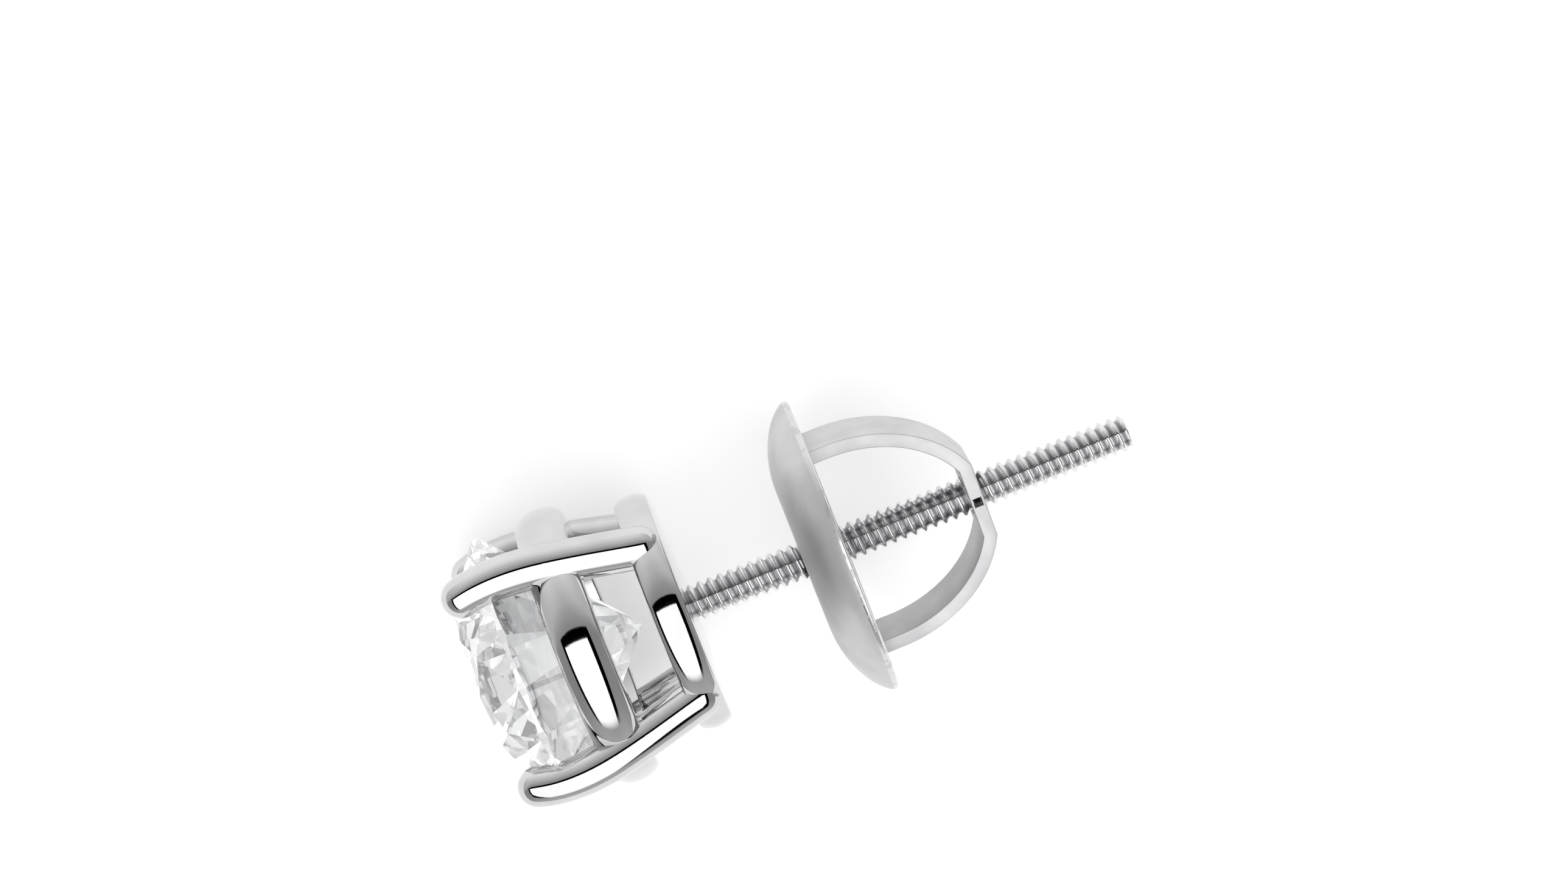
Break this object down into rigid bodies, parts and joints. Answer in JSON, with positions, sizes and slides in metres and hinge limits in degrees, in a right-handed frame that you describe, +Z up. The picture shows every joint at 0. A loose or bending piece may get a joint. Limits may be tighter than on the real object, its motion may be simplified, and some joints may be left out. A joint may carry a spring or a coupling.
{
  "type": "stud earring with screw back",
  "caption": "Round stone held by four prongs in an open basket, on a threaded post with a dished screw back, lying on its side.",
  "frame": {"origin": "centre of the bounding box's underside, on the level surface that the stud lies on: the gallery rail and the dish's rim touch it", "axes": "+X from the stone's face towards the post's end (the post's own axis rises 1.98 degrees towards +X), +Y across the stud, +Z up"},
  "size_m": [0.0162, 0.0072, 0.0072],
  "materials": {
    "stone": "clear polished diamond",
    "setting": "bright polished white gold",
    "screw_back": "soft polished white gold"
  },
  "bodies": {
    "earring": {"setting": "setting", "stone": "stone"},
    "screw_back": {"screw_back": "screw_back"}
  },
  "joints": [
    {"name": "back_travel", "type": "slide", "parent": "earring", "child": "screw_back", "axis": [0.9994, 0, 0.0345], "range_m": [-0.00278, 0.0078]}
  ]
}
